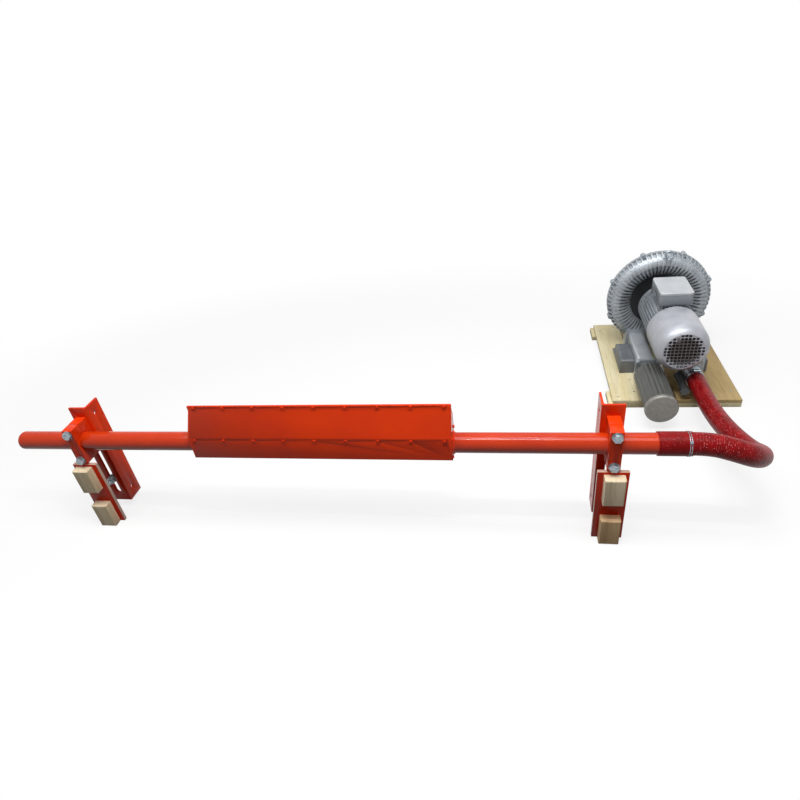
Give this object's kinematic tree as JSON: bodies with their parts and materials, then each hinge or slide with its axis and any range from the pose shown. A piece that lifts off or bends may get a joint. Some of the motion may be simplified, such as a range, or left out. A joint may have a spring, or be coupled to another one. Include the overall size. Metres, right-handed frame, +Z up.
{
  "type": "air knife with blower",
  "caption": "Belt-cleaning air knife: capped air pipe with a folded-sheet nozzle box on two slotted angle brackets, fed by a hose from a side-channel blower on a timber base.",
  "frame": {"origin": "on the floor, under the middle of the whole installation, without the hose", "axes": "+X along the air pipe towards the hose, +Y from the pipe to the blower, +Z up"},
  "size_m": [3.1, 1.678, 0.6035],
  "materials": {
    "red_enamel": "semi-gloss orange-red enamel",
    "zinc_steel": "bright zinc plate",
    "block_timber": "sawn hardwood",
    "pine": "planed pine",
    "cast_aluminium": "silver-sprayed casting",
    "silver_paint": "silver paint",
    "motor_steel": "ground steel",
    "black_plastic": "moulded, matt",
    "dark_brass": "blackened",
    "filter_grey": "dark grey, satin",
    "filter_lid": "grey, satin",
    "hose_red": "dark red silicone, satin"
  },
  "bodies": {
    "assembly": {"air_pipe": "red_enamel", "pipe_end_cap": "red_enamel", "plenum_trough": "red_enamel", "front_hood": "red_enamel", "rear_hood": "red_enamel", "nozzle_spacers": "zinc_steel", "left_end_plate": "red_enamel", "right_end_plate": "red_enamel", "plenum_screws": "red_enamel", "right_angle": "red_enamel", "right_clamp_front": "red_enamel", "right_clamp_rear": "red_enamel", "right_clamp_plate": "red_enamel", "right_upper_block": "block_timber", "right_lower_block": "block_timber", "left_angle": "red_enamel", "left_clamp_front": "red_enamel", "left_clamp_rear": "red_enamel", "left_clamp_plate": "red_enamel", "left_upper_block": "block_timber", "left_lower_block": "block_timber", "clamp_bolts": "zinc_steel", "bracket_washers": "zinc_steel", "bracket_nuts": "zinc_steel", "plate_studs": "zinc_steel", "plank_1": "pine", "plank_2": "pine", "plank_3": "pine", "plank_4": "pine", "front_cleat": "pine", "rear_cleat": "pine", "deck_nails": "zinc_steel", "front_housing": "cast_aluminium", "rear_housing": "cast_aluminium", "housing_screws": "zinc_steel", "lifting_eye": "zinc_steel", "motor_bearings": "motor_steel", "motor_frame": "cast_aluminium", "stator_core": "motor_steel", "rear_end_shield": "cast_aluminium", "fan_cowl": "silver_paint", "terminal_box": "silver_paint", "terminal_lid": "silver_paint", "inlet_silencer": "cast_aluminium", "outlet_silencer": "cast_aluminium", "left_foot": "cast_aluminium", "right_foot": "cast_aluminium", "foot_screws": "zinc_steel", "filter_flange": "cast_aluminium", "filter_body": "filter_grey", "filter_cap": "filter_lid", "outlet_nipple": "cast_aluminium", "relief_valve": "dark_brass", "hose_cuff": "hose_red", "air_hose": "hose_red", "hose_clamps": "zinc_steel"},
    "rotor": {"impeller": "cast_aluminium", "motor_shaft": "motor_steel", "rotor_core": "motor_steel", "cooling_fan": "black_plastic"}
  },
  "joints": [
    {"name": "rotor_spin", "type": "hinge", "parent": "assembly", "child": "rotor", "pos_m": [1.245, 0.59, 0.325], "axis": [0, 1, 0], "continuous": true}
  ]
}
